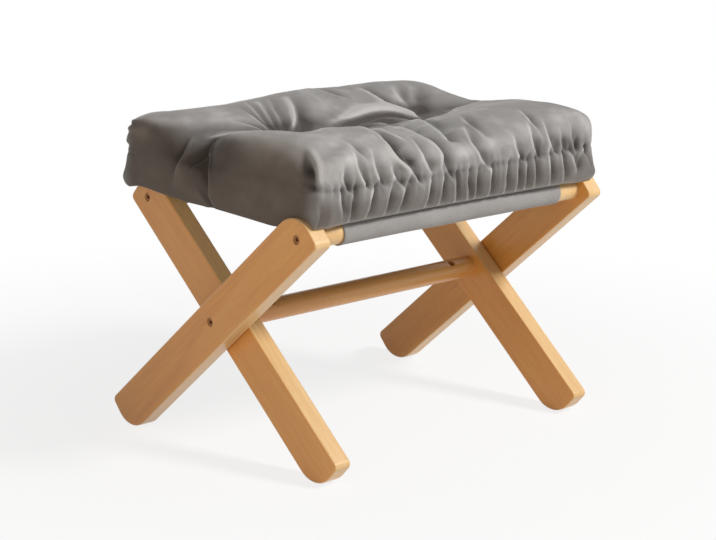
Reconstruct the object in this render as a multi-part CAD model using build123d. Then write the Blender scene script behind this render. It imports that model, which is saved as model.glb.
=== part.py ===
from build123d import *
import os
from math import cos, pi, radians, sin

# Folding footstool: two pairs of crossed beech legs on one axle, a cloth sling between two rails
# and a loose tufted cushion. Millimetres. +X runs along the rails, -Y is the front, +Z is up, and
# the origin lies on the floor under the middle of the stool.

# Legs: flat boards, drawn along the board (up is positive) and across it (seat side is positive)
STOOL_WIDTH = 410.0          # over the outer faces of the outer legs
LEG_WIDTH = 45.0
LEG_THICKNESS = 20.0
LEG_ABOVE_PIVOT = 180.0
LEG_BELOW_PIVOT = 195.0
LEG_LEAN = 48.8              # degrees from upright, stool open
FOOT_RADIUS = 28.0           # round under corner of the foot
CROWN_RADIUS = 28.0          # round seat-side corner of the top
CORNER_RADIUS = 6.0          # the two small corners
EDGE_EASE = 1.8              # rounding along the edges
PIVOT_OFFSET = 2.5           # pivot hole, from the board's centre line towards the seat side
RAIL_FROM_PIVOT = 161.0
RAIL_OFFSET = 1.8            # rail hole, from the board's centre line towards the under side
LEG_GAP = 1.2                # between an outer and an inner leg, filled by the pivot washer

# Round bars
RAIL_DIAMETER = 22.0
STRETCHER_DIAMETER = 23.0

# Socket head bolts with barrel nuts
BOLT_DIAMETER = 5.0
BOLT_PAST_NUT = 3.0
HEAD_DIAMETER = 8.5
HEAD_HEIGHT = 5.0
HEX_WIDTH = 4.0
HEX_DEPTH = 2.5
HEAD_RECESS = 1.0            # top of the head below the leg's face
NUT_DIAMETER = 8.0
NUT_LENGTH = 14.0
NUT_FROM_END = 33.0          # from the bar's end to the nut
STRETCHER_NUT_TURN = 32.0    # degrees from upright towards the front, where the nut's hole shows
RAIL_NUT_TURN = 180.0        # nut holes of the rails open downwards
WASHER_DIAMETER = 14.0
RUNNING_CLEARANCE = 0.05     # radial, where a leg turns on its bolt
BORE_CLEARANCE = 0.15        # radial, around parts that are only held
HEAD_CLEARANCE = 0.3         # radial, around a bolt head

# Sling: one cloth with a hem tunnel on each rail
SLING_SIDE_GAP = 8.8         # from an inner leg's inside face to the sling's edge
CLOTH_THICKNESS = 1.2
TUNNEL_CLEARANCE = 0.2       # between a rail and its tunnel
HEM_TAIL = 8.0               # from the rail's centre to the hem's stitched end

# Cushion: loose, tufted, with a gathered seam along its front and back
CUSHION_SIDE_GAP = 4.0       # from an outer leg's outside face back to the cushion's end
CUSHION_DEPTH = 298.0
CUSHION_HEIGHT = 84.0
CUSHION_CLEARANCE = 0.3      # above the sling and the legs' tops
SEAM_HEIGHT = 33.0
SEAM_DRAW_IN = 5.0
BOTTOM_DRAW_IN = 14.0
SHOULDER_DRAW_IN = 20.0
SHOULDER_SHARE = 0.765       # a shoulder's height, as a share of the way from the seam up to its roll's crest
ROLL_FROM_MIDDLE = 82.0      # the crests of the front and the back roll
FRONT_ROLL_DROP = 20.0       # how much lower the front roll is at the middle of the stool
VALLEY_DEPTH = 25.0          # between the two rolls, below the back one
END_VALLEY_DEPTH = 8.0       # the same at the ends
WAIST_DRAW_IN = 5.0          # the sides pull in between the corners
END_ROUNDING = 24.0          # length of the rounding at each end
END_TURN = 75.0              # degrees of the rounding before the flat end
END_INSET = 12.0             # what a full rounding would take off the front and the back
END_FALL = 14.0              # off the top
END_RISE = 8.0               # and off the underside
END_DROP = 11.0              # how much lower the back roll is at the ends
BODY_STEPS = 4               # sections from the middle to a corner
END_STEPS = 3                # sections round an end
RELIEF_SLOPE = 6.0           # run of the slope up to the raised underside of the ends
TUFT_SPACING = 206.0
TUFT_RADIUS = 60.0
TUFT_DEPTH = 34.0            # below the back roll
TUFT_THROAT = 3.0            # radius at the bottom of a tuft
TUFT_FLARE = 0.38            # share of the radius and of the depth at the funnel's bend
COVER_THICKNESS = 1.5
FILLING_CLEARANCE = 1.0
THREAD_DIAMETER = 2.4
THREAD_CLEARANCE = 0.2

# Places worked out from the sizes above
outer_face = STOOL_WIDTH / 2
outer_leg_inside = outer_face - LEG_THICKNESS
inner_leg_outside = outer_leg_inside - LEG_GAP
inner_leg_inside = inner_leg_outside - LEG_THICKNESS
sling_width = 2 * (inner_leg_inside - SLING_SIDE_GAP)
cushion_length = STOOL_WIDTH - 2 * CUSHION_SIDE_GAP
lean_sin = sin(radians(LEG_LEAN))
lean_cos = cos(radians(LEG_LEAN))
half_width = LEG_WIDTH / 2
seat_edge = half_width - PIVOT_OFFSET
under_edge = -half_width - PIVOT_OFFSET
rail_across = -RAIL_OFFSET - PIVOT_OFFSET


def height_from_pivot(along, across):
    """Height above the pivot of a point on a leg, with the stool open."""
    return along * lean_cos + across * lean_sin


foot_centre = height_from_pivot(FOOT_RADIUS - LEG_BELOW_PIVOT, under_edge + FOOT_RADIUS)
crown_centre = height_from_pivot(LEG_ABOVE_PIVOT - CROWN_RADIUS, seat_edge - CROWN_RADIUS)
pivot_z = FOOT_RADIUS - foot_centre
leg_top_z = pivot_z + crown_centre + CROWN_RADIUS
rail_y = RAIL_FROM_PIVOT * lean_sin - rail_across * lean_cos
rail_z = pivot_z + height_from_pivot(RAIL_FROM_PIVOT, rail_across)
tunnel_inner = RAIL_DIAMETER / 2 + TUNNEL_CLEARANCE
tunnel_outer = tunnel_inner + CLOTH_THICKNESS
sling_top_z = rail_z + tunnel_outer
cushion_z = sling_top_z + CUSHION_CLEARANCE
head_seat = HEAD_RECESS + HEAD_HEIGHT


def rod(diameter, start_x, end_x, y=0.0, z=0.0):
    """Round bar along X."""
    length = abs(end_x - start_x)
    return Pos((start_x + end_x) / 2, y, z) * Rot(0, 90, 0) * Cylinder(diameter / 2, length)


def leg(outside_x, inside_x, front, pivot_seat):
    """One board. front is +1 where its top leans to the front and -1 where it leans to the back.
    Bolt heads sit in its outside face."""
    low_x = min(outside_x, inside_x)
    way_out = 1 if outside_x > inside_x else -1
    board_plane = Plane(
        origin=(low_x, 0, pivot_z), x_dir=(0, -front * lean_sin, lean_cos), z_dir=(1, 0, 0)
    )
    seat = -front
    corners = {
        "foot_seat": (-LEG_BELOW_PIVOT, seat * seat_edge, CORNER_RADIUS),
        "foot_under": (-LEG_BELOW_PIVOT, seat * under_edge, FOOT_RADIUS),
        "top_under": (LEG_ABOVE_PIVOT, seat * under_edge, CORNER_RADIUS),
        "top_seat": (LEG_ABOVE_PIVOT, seat * seat_edge, CROWN_RADIUS),
    }
    outline = make_face(Polyline(*[(a, c) for a, c, _ in corners.values()], close=True))
    for along, across, radius in corners.values():
        corner = outline.vertices().sort_by_distance((along, across, 0))[0]
        outline = fillet(corner, radius)
    board = extrude(board_plane * outline, LEG_THICKNESS)
    faces = board.faces().sort_by(Axis.X)
    board = fillet(faces[0].edges() + faces[-1].edges(), EDGE_EASE)
    running = BOLT_DIAMETER + 2 * RUNNING_CLEARANCE
    held = BOLT_DIAMETER + 2 * BORE_CLEARANCE
    head_hole = HEAD_DIAMETER + 2 * HEAD_CLEARANCE
    head_floor = outside_x - way_out * head_seat
    board -= rod(running, outside_x + way_out, inside_x - way_out, 0, pivot_z)
    if pivot_seat:
        board -= rod(head_hole, outside_x + way_out, head_floor, 0, pivot_z)
    board -= rod(held, outside_x + way_out, inside_x - way_out, -front * rail_y, rail_z)
    board -= rod(head_hole, outside_x + way_out, head_floor, -front * rail_y, rail_z)
    return board


def bolt(outside_x, bar_end_x, y, z):
    """Socket head bolt from its seat in a leg's outside face to just past the nut in the bar."""
    way_out = 1 if outside_x > bar_end_x else -1
    head_top = outside_x - way_out * HEAD_RECESS
    head_floor = outside_x - way_out * head_seat
    tip = bar_end_x - way_out * (NUT_FROM_END + NUT_DIAMETER / 2 + BOLT_PAST_NUT)
    body = rod(HEAD_DIAMETER, head_top, head_floor, y, z) + rod(BOLT_DIAMETER, head_floor, tip, y, z)
    socket = extrude(
        Plane(origin=(head_top, y, z), z_dir=(-way_out, 0, 0))
        * RegularPolygon(HEX_WIDTH / 2, 6, major_radius=False),
        HEX_DEPTH,
    )
    return body - socket


def turned_up(turn):
    """Turns +Z by an angle towards the front, about X."""
    return Rot(turn, 0, 0)


def barrel_nut(bar_end_x, y, z, turn):
    """Cross dowel with its threaded hole on the bolt's axis."""
    way_out = 1 if bar_end_x > 0 else -1
    nut_x = bar_end_x - way_out * NUT_FROM_END
    barrel = Pos(nut_x, y, z) * turned_up(turn) * Cylinder(NUT_DIAMETER / 2, NUT_LENGTH)
    thread = BOLT_DIAMETER + 2 * RUNNING_CLEARANCE
    return barrel - rod(thread, nut_x - NUT_DIAMETER, nut_x + NUT_DIAMETER, y, z)


def bar(diameter, end_x, y, z, turn):
    """Round bar from -end_x to end_x, bored at both ends for a bolt and its barrel nut."""
    body = rod(diameter, -end_x, end_x, y, z)
    bore = BOLT_DIAMETER + 2 * BORE_CLEARANCE
    bore_depth = NUT_FROM_END + NUT_DIAMETER / 2 + BOLT_PAST_NUT + BORE_CLEARANCE
    nut_hole = NUT_DIAMETER / 2 + BORE_CLEARANCE
    nut_floor = -NUT_LENGTH / 2 - BORE_CLEARANCE
    hole_length = diameter - nut_floor
    for way in (-1, 1):
        body -= rod(bore, way * end_x, way * (end_x - bore_depth), y, z)
        cross = Pos(0, 0, nut_floor + hole_length / 2) * Cylinder(nut_hole, hole_length)
        body -= Pos(way * (end_x - NUT_FROM_END), y, z) * turned_up(turn) * cross
    return body


def washer(low_x):
    """Thin ring between an outer and an inner leg."""
    ring = rod(WASHER_DIAMETER, low_x, low_x + LEG_GAP, 0, pivot_z)
    hole = BOLT_DIAMETER + 2 * RUNNING_CLEARANCE
    return ring - rod(hole, low_x - LEG_GAP, low_x + 2 * LEG_GAP, 0, pivot_z)


def sleeve(side):
    """Hem tunnel round a rail, with the flat tail that runs to the hem's stitching.
    side is -1 for the front rail and +1 for the rear one."""
    y = side * rail_y
    tail_end = y - side * HEM_TAIL
    tail = Pos(0, (y + tail_end) / 2, sling_top_z - CLOTH_THICKNESS / 2) * Box(
        sling_width, HEM_TAIL, CLOTH_THICKNESS
    )
    tube = rod(2 * tunnel_outer, -sling_width / 2, sling_width / 2, y, rail_z) + tail
    return tube - rod(2 * tunnel_inner, -sling_width, sling_width, y, rail_z)


def sling_panel():
    """The sling's flat stretch between the two hems."""
    length = 2 * (rail_y - HEM_TAIL)
    middle_z = sling_top_z - CLOTH_THICKNESS / 2
    return Pos(0, 0, middle_z) * Box(sling_width, length, CLOTH_THICKNESS)


def cushion_section(x, depth, bottom, rolls, inset):
    """Closed outline of the cushion across its length: flat below, gathered in at the seam on the
    front and the back, with a roll along the front, a valley and a higher roll along the back.
    rolls holds the heights of the front roll, the valley and the back roll."""
    half = depth / 2 - inset
    low = bottom + inset
    front_roll, valley, back_roll = (height - inset for height in rolls)
    seam = cushion_z + SEAM_HEIGHT
    low_mid = (low + seam) / 2

    def side(way, roll):
        """The outline's points on the front (-1) or the back (+1), from the underside up."""
        shoulder = seam + SHOULDER_SHARE * (roll - seam)
        points = [
            (half - BOTTOM_DRAW_IN, low),
            (half, low_mid),
            (half - SEAM_DRAW_IN, seam),
            (half, (seam + shoulder) / 2),
            (half - SHOULDER_DRAW_IN, shoulder),
        ]
        return [(x, way * y, z) for y, z in points]

    front = side(-1, front_roll)
    back = side(1, back_roll)
    crests = [
        (x, ROLL_FROM_MIDDLE, back_roll),
        (x, 0, valley),
        (x, -ROLL_FROM_MIDDLE, front_roll),
    ]
    return make_face([
        Line(front[0], back[0]),
        ThreePointArc(*back[0:3]),
        ThreePointArc(*back[2:5]),
        Spline(back[4], *crests, front[4]),
        ThreePointArc(*front[4:1:-1]),
        ThreePointArc(*front[2::-1]),
    ])


def roll_heights(share):
    """Heights of the front roll, the valley and the back roll. share runs from 0 at the middle of
    the stool to 1 at a corner."""
    back_roll = cushion_z + CUSHION_HEIGHT - END_DROP * share**2
    front_roll = back_roll - FRONT_ROLL_DROP * (1 - share**2) ** 2
    valley = back_roll - VALLEY_DEPTH + (VALLEY_DEPTH - END_VALLEY_DEPTH) * share**4
    return front_roll, valley, back_roll


def cushion_block(inset):
    """Cushion without its tufts, shrunk by inset all round."""
    end_x = cushion_length / 2 - inset
    corner_x = end_x - END_ROUNDING
    middle = []
    for step in range(-BODY_STEPS, BODY_STEPS + 1):
        share = step / BODY_STEPS
        depth = CUSHION_DEPTH - 2 * WAIST_DRAW_IN * cos(share * pi / 2)
        middle.append(cushion_section(share * corner_x, depth, cushion_z, roll_heights(share), inset))
    block = loft(middle)
    for way in (-1, 1):
        cap = []
        for step in range(END_STEPS + 1):
            turn = END_TURN * step / END_STEPS
            rounded = 1 - cos(radians(turn))
            x = corner_x + END_ROUNDING * sin(radians(turn)) / sin(radians(END_TURN))
            depth = CUSHION_DEPTH - 2 * END_INSET * rounded
            rolls = [height - END_FALL * rounded for height in roll_heights(1)]
            cap.append(cushion_section(way * x, depth, cushion_z + END_RISE * rounded, rolls, inset))
        block += loft(cap)
    return block


def tuft_hollow(x, inset):
    """Funnel that a tuft pulls into the crown: steep at the thread and flat at the rim."""
    rim_z = cushion_z + CUSHION_HEIGHT
    floor_z = rim_z - TUFT_DEPTH - inset
    throat = TUFT_THROAT + inset
    rim = TUFT_RADIUS + inset
    bend = (
        throat + TUFT_FLARE * (rim - throat),
        0,
        rim_z - TUFT_FLARE * (rim_z - floor_z),
    )
    profile = make_face([
        Line((0, 0, floor_z), (throat, 0, floor_z)),
        ThreePointArc((throat, 0, floor_z), bend, (rim, 0, rim_z)),
        Line((rim, 0, rim_z), (0, 0, rim_z)),
        Line((0, 0, rim_z), (0, 0, floor_z)),
    ])
    return Pos(x, 0, 0) * revolve(profile, Axis.Z)


def end_relief(way, inset):
    """Space under an end of the cushion, which the legs' tops pass through as the stool folds."""
    start = inner_leg_inside - CUSHION_CLEARANCE - inset
    far = STOOL_WIDTH
    level = leg_top_z + CUSHION_CLEARANCE + inset
    below = cushion_z - LEG_WIDTH
    rise = level - cushion_z
    slope_start = start - RELIEF_SLOPE
    profile = make_face(Polyline(
        (way * slope_start, 0, cushion_z + inset),
        (way * start, 0, cushion_z + inset + rise),
        (way * far, 0, cushion_z + inset + rise),
        (way * far, 0, below),
        (way * slope_start, 0, below),
        close=True,
    ))
    return extrude(profile, CUSHION_DEPTH, dir=(0, 1, 0), both=True)


def cushion_form(inset):
    """Cushion with its tufts, shrunk by inset all round."""
    form = cushion_block(inset)
    for way in (-1, 1):
        form -= end_relief(way, inset)
        form -= tuft_hollow(way * TUFT_SPACING / 2, inset)
    return form


nodes = {}
for name, way in (("left", -1), ("right", 1)):
    nodes[f"outer_leg_{name}"] = leg(way * outer_face, way * outer_leg_inside, 1, True)
    nodes[f"inner_leg_{name}"] = leg(way * inner_leg_outside, way * inner_leg_inside, -1, False)
    nodes[f"pivot_bolt_{name}"] = bolt(way * outer_face, way * inner_leg_inside, 0, pivot_z)
    nodes[f"pivot_nut_{name}"] = barrel_nut(way * inner_leg_inside, 0, pivot_z, STRETCHER_NUT_TURN)
    nodes[f"pivot_washer_{name}"] = washer(min(way * outer_leg_inside, way * inner_leg_outside))
    nodes[f"front_rail_bolt_{name}"] = bolt(way * outer_face, way * outer_leg_inside, -rail_y, rail_z)
    nodes[f"front_rail_nut_{name}"] = barrel_nut(way * outer_leg_inside, -rail_y, rail_z, RAIL_NUT_TURN)
    nodes[f"rear_rail_bolt_{name}"] = bolt(way * inner_leg_outside, way * inner_leg_inside, rail_y, rail_z)
    nodes[f"rear_rail_nut_{name}"] = barrel_nut(way * inner_leg_inside, rail_y, rail_z, RAIL_NUT_TURN)
nodes["stretcher"] = bar(STRETCHER_DIAMETER, inner_leg_inside, 0, pivot_z, STRETCHER_NUT_TURN)
nodes["front_rail"] = bar(RAIL_DIAMETER, outer_leg_inside, -rail_y, rail_z, RAIL_NUT_TURN)
nodes["rear_rail"] = bar(RAIL_DIAMETER, inner_leg_inside, rail_y, rail_z, RAIL_NUT_TURN)
nodes["front_sleeve"] = sleeve(-1)
nodes["rear_sleeve"] = sleeve(1)
nodes["sling_panel"] = sling_panel()

cover = cushion_form(0) - cushion_form(COVER_THICKNESS)
filling = cushion_form(COVER_THICKNESS + FILLING_CLEARANCE)
tuft_floor = cushion_z + CUSHION_HEIGHT - TUFT_DEPTH
for name, way in (("left", -1), ("right", 1)):
    x = way * TUFT_SPACING / 2
    thread_length = tuft_floor - cushion_z
    thread_place = Pos(x, 0, cushion_z + thread_length / 2)
    hole = thread_place * Cylinder(THREAD_DIAMETER / 2 + THREAD_CLEARANCE, 2 * thread_length)
    cover -= hole
    filling -= hole
    nodes[f"tuft_thread_{name}"] = thread_place * Cylinder(THREAD_DIAMETER / 2, thread_length)
nodes["cushion_cover"] = cover
nodes["cushion_filling"] = filling

os.makedirs("parts", exist_ok=True)
for name, solid in nodes.items():
    export_step(solid, f"parts/{name}.step")
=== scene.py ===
import math

import bmesh
import bpy
import numpy as np
from mathutils import Matrix, Vector, noise


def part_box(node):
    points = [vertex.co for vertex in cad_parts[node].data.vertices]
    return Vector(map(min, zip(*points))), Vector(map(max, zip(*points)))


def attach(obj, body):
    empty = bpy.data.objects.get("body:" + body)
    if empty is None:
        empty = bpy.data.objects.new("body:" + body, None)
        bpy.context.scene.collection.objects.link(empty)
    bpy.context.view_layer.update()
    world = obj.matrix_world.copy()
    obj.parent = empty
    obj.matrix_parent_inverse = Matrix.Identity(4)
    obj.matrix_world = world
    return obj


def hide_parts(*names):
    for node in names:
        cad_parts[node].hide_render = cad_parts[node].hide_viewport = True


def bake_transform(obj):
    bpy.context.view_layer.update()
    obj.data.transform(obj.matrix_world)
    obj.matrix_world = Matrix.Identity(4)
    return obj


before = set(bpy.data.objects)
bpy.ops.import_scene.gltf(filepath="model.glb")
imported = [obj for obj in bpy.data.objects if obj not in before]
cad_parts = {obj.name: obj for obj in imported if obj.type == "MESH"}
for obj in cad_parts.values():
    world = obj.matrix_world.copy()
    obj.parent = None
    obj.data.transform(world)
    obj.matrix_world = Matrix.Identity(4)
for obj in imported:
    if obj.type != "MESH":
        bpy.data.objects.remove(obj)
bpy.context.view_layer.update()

# Folding footstool: lacquered beech legs and bars, a cloth sling and a loose tufted velvet cushion.
# Sizes are in millimetres unless a comment says otherwise, and become metres in the meshes.
MM = 0.001

# Camera, fitted to the edges of the legs
AZIMUTH = -44.19
ELEVATION = 13.27
ROLL = -0.83
DISTANCE = 1977.47
AIM_HEIGHT = 132.42
AIM_SHIFT = (3.28, -23.55)
LENS = 94.95
SENSOR_WIDTH = 36.0


def corners_mm(node):
    """Lowest and highest corner of a CAD node."""
    low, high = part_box(node)
    return np.array(low) / MM, np.array(high) / MM


def smooth_step(value, start, end):
    share = np.clip((value - start) / (end - start), 0.0, 1.0)
    return share * share * (3.0 - 2.0 * share)


def smooth_faces(mesh):
    mesh.polygons.foreach_set("use_smooth", [True] * len(mesh.polygons))


def mesh_piece(name, points, faces):
    """A new object from points in millimetres, already in place."""
    mesh = bpy.data.meshes.new(name)
    mesh.from_pydata([tuple(p) for p in np.asarray(points) * MM], [], [tuple(f) for f in faces])
    smooth_faces(mesh)
    mesh.update()
    piece = bpy.data.objects.new(name, mesh)
    bpy.context.collection.objects.link(piece)
    return piece


def settle(piece, modifier):
    """Makes what the modifier shows the piece's own mesh."""
    made = bpy.data.meshes.new_from_object(piece.evaluated_get(bpy.context.evaluated_depsgraph_get()))
    piece.modifiers.remove(modifier)
    piece.data = made
    smooth_faces(made)


def points_of(mesh):
    flat = np.empty(len(mesh.vertices) * 3)
    mesh.vertices.foreach_get("co", flat)
    return flat.reshape(-1, 3) / MM


def set_points(mesh, points):
    mesh.vertices.foreach_set("co", (points * MM).ravel())
    mesh.update()


def normals_of(mesh):
    flat = np.empty(len(mesh.vertices) * 3)
    mesh.vertex_normals.foreach_get("vector", flat)
    return flat.reshape(-1, 3)


# Materials

def linear(hex_colour):
    """sRGB hex to linear RGBA."""
    parts = [int(hex_colour[i:i + 2], 16) / 255 for i in (1, 3, 5)]
    return tuple(c / 12.92 if c <= 0.04045 else ((c + 0.055) / 1.055) ** 2.4 for c in parts) + (1.0,)


def add(tree, kind, links=None, values=None, stops=None, **settings):
    """One node, with its settings, its socket values, what feeds its sockets and its colour stops.
    A node among what feeds it does so from its first output."""
    made = tree.nodes.new(kind if "Node" in kind else "ShaderNode" + kind)
    for name, value in settings.items():
        setattr(made, name, value)
    for socket, value in (values or {}).items():
        made.inputs[socket].default_value = value
    for socket, source in (links or {}).items():
        tree.links.new(source.outputs[0] if hasattr(source, "outputs") else source, made.inputs[socket])
    if stops:
        elements = made.color_ramp.elements
        while len(elements) < len(stops):
            elements.new(0.5)
        for element, (place, colour) in zip(elements, stops):
            element.position = place
            element.color = linear(colour)
    return made


def new_material(name):
    """A bare material, its tree and the places that its patterns read."""
    material = bpy.data.materials.new(name)
    material.use_nodes = True
    tree = material.node_tree
    tree.nodes.clear()
    return material, tree, add(tree, "TexCoord").outputs


def surfaced(material, patterns, finish):
    """The material with its surface: the patterns that feed it, and the finish that is the same all over."""
    shader = add(material.node_tree, "BsdfPrincipled", patterns, finish)
    add(material.node_tree, "OutputMaterial", {"Surface": shader})
    return material


WAVE_RATE = 20.0             # a wave pattern's own turns, in radians for each unit of its scale


def grain_scale(size):
    """Scale of a pattern whose grains are size across."""
    return 1 / (size * MM)


def wave_scale(spacing):
    """Scale of a pattern whose waves are spacing apart."""
    return 2 * math.pi / (WAVE_RATE * spacing * MM)


STREAK_WIDTH, FIGURE_WIDTH, FLECK_WIDTH = 2.94, 26.3, 1.923
# The scale of each pattern along the grain, as a share of that across it
ALONG_GRAIN = {"streaks": 0.045, "flecks": 0.09, "figure": 0.12}


def lacquered_beech(name, grain_turn, grain_axis, edge_grain_and_highlight=0.7):
    """Beech, planed, sanded and clear lacquered: honey coloured, with long soft growth streaks, short dark
    ray flecks along the grain and a satin gloss. The narrow edges are paler than the broad faces: partly the
    paler tone of edge grain, partly a painted highlight. The flecks are drawn about three times their real
    size, so that they show."""
    material, tree, place = new_material(name)
    turned = add(tree, "Mapping", {"Vector": place["Object"]}, {"Rotation": grain_turn})
    spread = {}
    for layer, along in ALONG_GRAIN.items():
        scale = [1.0, 1.0, 1.0]
        scale[grain_axis] = along
        spread[layer] = add(tree, "Mapping", {"Vector": turned}, {"Scale": scale})
    streaks = add(tree, "TexNoise", {"Vector": spread["streaks"]},
                  {"Scale": grain_scale(STREAK_WIDTH), "Detail": 5.0, "Roughness": 0.6, "Distortion": 0.3})
    figure = add(tree, "TexNoise", {"Vector": spread["figure"]},
                 {"Scale": grain_scale(FIGURE_WIDTH), "Detail": 3.0, "Roughness": 0.5, "Distortion": 0.8})
    flecks = add(tree, "TexVoronoi", {"Vector": spread["flecks"]}, {"Scale": grain_scale(FLECK_WIDTH)})
    tone = add(tree, "Math", {0: streaks, 1: figure}, operation="ADD")
    half_tone = add(tree, "Math", {0: tone}, {1: 0.5}, operation="MULTIPLY")
    honey = add(tree, "ValToRGB", {"Fac": half_tone},
                stops=[(0.33, "#d48b3b"), (0.5, "#de9845"), (0.68, "#e5a555")])
    # Paler ramp for the narrow edges: partly edge grain's own paler tone, partly a painted highlight
    pale = add(tree, "ValToRGB", {"Fac": half_tone},
               stops=[(0.33, "#dfb97f"), (0.5, "#e7c790"), (0.68, "#eed2a0")])
    facing = add(tree, "SeparateXYZ", {"Vector": place["Normal"]})
    broad = add(tree, "Math", {0: facing.outputs["X"]}, operation="ABSOLUTE")
    # Painted highlight: faces that don't face along X take up to this share of the paler ramp
    edge = add(tree, "MapRange", {"Value": broad},
               {"From Min": 0.35, "From Max": 0.95, "To Min": edge_grain_and_highlight, "To Max": 0.0})
    wood = add(tree, "Mix", {"Factor": edge, 6: honey, 7: pale}, data_type="RGBA")
    fleck_mask = add(tree, "MapRange", {"Value": flecks},
                     {"From Min": 0.05, "From Max": 0.22, "To Min": 0.34, "To Max": 0.0})
    flecked = add(tree, "Mix", {"Factor": fleck_mask, 6: wood.outputs[2]},
                  {7: linear("#8a5a30")}, data_type="RGBA")
    rough = add(tree, "MapRange", {"Value": streaks},
                {"From Min": 0.3, "From Max": 0.7, "To Min": 0.36, "To Max": 0.5})
    bump = add(tree, "Bump", {"Height": streaks}, {"Strength": 0.12, "Distance": 0.4 * MM})
    return surfaced(material, {"Base Color": flecked.outputs[2], "Roughness": rough, "Normal": bump},
                    {"IOR": 1.5, "Coat Weight": 0.4, "Coat Roughness": 0.25})


STEEL_GRIT = 1.111


def browned_steel(name, colour, roughness):
    """Steel, browned: dull brown with a worn gloss. Its grit is drawn coarse, so that it shows."""
    material, tree, place = new_material(name)
    grit = add(tree, "TexNoise", {"Vector": place["Object"]},
               {"Scale": grain_scale(STEEL_GRIT), "Detail": 3.0})
    worn = add(tree, "ValToRGB", {"Fac": grit}, stops=[(0.35, colour[0]), (0.7, colour[1])])
    rough = add(tree, "MapRange", {"Value": grit},
                {"From Min": 0.3, "From Max": 0.7, "To Min": roughness, "To Max": roughness + 0.15})
    return surfaced(material, {"Base Color": worn, "Roughness": rough}, {"Metallic": 0.5})


NYLON_CLOUD = 4.0


def moulded_nylon(name):
    """Nylon, moulded: tan, slightly translucent looking, matte."""
    material, tree, place = new_material(name)
    cloud = add(tree, "TexNoise", {"Vector": place["Object"]}, {"Scale": grain_scale(NYLON_CLOUD)})
    tan = add(tree, "ValToRGB", {"Fac": cloud}, stops=[(0.3, "#8f7350"), (0.7, "#a3855f")])
    return surfaced(material, {"Base Color": tan}, {"Roughness": 0.55})


WEAVE_SPACING, CANVAS_CLOUD = 1.4, 38.46


def plain_weave(name):
    """Polyester canvas, plain woven: mid grey, matte, with a fine crossing of threads.
    The threads are drawn about twice as far apart as they really are, so that they show."""
    material, tree, place = new_material(name)
    warp, weft = (add(tree, "TexWave", {"Vector": place["UV"]},
                      {"Scale": wave_scale(WEAVE_SPACING), "Distortion": 0.6, "Detail": 1.0},
                      bands_direction=way) for way in ("X", "Y"))
    weave = add(tree, "Math", {0: warp.outputs["Fac"], 1: weft.outputs["Fac"]}, operation="MULTIPLY")
    cloud = add(tree, "TexNoise", {"Vector": place["Object"]},
                {"Scale": grain_scale(CANVAS_CLOUD), "Detail": 4.0, "Roughness": 0.6})
    tone = add(tree, "Math", {0: weave, 1: cloud}, operation="ADD")
    half_tone = add(tree, "Math", {0: tone}, {1: 0.5}, operation="MULTIPLY")
    grey = add(tree, "ValToRGB", {"Fac": half_tone},
               stops=[(0.15, "#898582"), (0.45, "#9e9a97"), (0.75, "#aeaaa7")])
    bump = add(tree, "Bump", {"Height": weave}, {"Strength": 0.25, "Distance": 0.3 * MM})
    return surfaced(material, {"Base Color": grey, "Normal": bump}, {"Roughness": 0.85, "Sheen Weight": 0.15})


# Attributes that carry the cushion's painted light and shade
LIGHT_SHADE_ATTRIBUTE = "velvet_light_and_shade"
BROWN_SHADE_ATTRIBUTE = "brown_painted_shade"
PILE_GRAIN, STROKE_WIDTH = 0.909, 41.67


def cotton_velvet(name):
    """Short pile velvet: grey, matte, patchy where the pile has been stroked one way or the other.
    One attribute paints light and shade on it: highlights along the lips of folds, on its tops and on
    forward-leaning slopes, and shade in the folds, in the hollow and below the seam. The other paints a
    browner, darker shade at the ends, below the seam and in tucked corners. The pile's grain is drawn coarse,
    so that it shows."""
    material, tree, place = new_material(name)
    pile = add(tree, "TexNoise", {"Vector": place["Object"]},
               {"Scale": grain_scale(PILE_GRAIN), "Detail": 2.0, "Roughness": 0.7})
    stroke = add(tree, "TexNoise", {"Vector": place["Object"]},
                 {"Scale": grain_scale(STROKE_WIDTH), "Detail": 4.0, "Roughness": 0.55, "Distortion": 0.7})
    tone = add(tree, "Mix", {0: stroke}, {2: 0.35, 3: 0.65})
    blend = add(tree, "Math", {0: pile, 1: tone}, operation="ADD")
    half = add(tree, "Math", {0: blend}, {1: 0.5}, operation="MULTIPLY")
    # Painted light and shade: paler on lips, tops and forward-leaning slopes, darker in folds, the hollow and
    # below the seam
    fold = add(tree, "Attribute", attribute_name=LIGHT_SHADE_ATTRIBUTE)
    pile_share = add(tree, "Math", {0: half}, {1: 0.7, 2: 0.15}, operation="MULTIPLY_ADD")
    shade = add(tree, "Math", {0: fold.outputs["Fac"], 2: pile_share}, {1: 0.5}, operation="MULTIPLY_ADD")
    lit_nap = add(tree, "ValToRGB", {"Fac": shade},
                  stops=[(0.02, "#544e4a"), (0.4, "#8d8a87"), (0.56, "#9d9a98"), (0.85, "#c6c3c0")])
    # A browner, darker copy of the colour, for the painted shade at the ends, below the seam and in tucked
    # corners
    shaded_nap = add(tree, "ValToRGB", {"Fac": shade},
                   stops=[(0.02, "#463d36"), (0.42, "#665c55"), (0.56, "#70665e"), (0.85, "#92887f")])
    painted_shade = add(tree, "Attribute", attribute_name=BROWN_SHADE_ATTRIBUTE)
    grey = add(tree, "Mix", {"Factor": painted_shade.outputs["Fac"], 6: lit_nap, 7: shaded_nap}, data_type="RGBA")
    bump = add(tree, "Bump", {"Height": pile}, {"Strength": 0.18, "Distance": 0.5 * MM})
    return surfaced(material, {"Base Color": grey.outputs[2], "Normal": bump},
                    {"Roughness": 0.95, "Specular IOR Level": 0.2, "Sheen Weight": 0.7,
                     "Sheen Roughness": 0.35, "Sheen Tint": linear("#f4f2f0")})


TWIST_SPACING = 0.8
TWIST_SLANT = math.radians(40)


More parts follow.
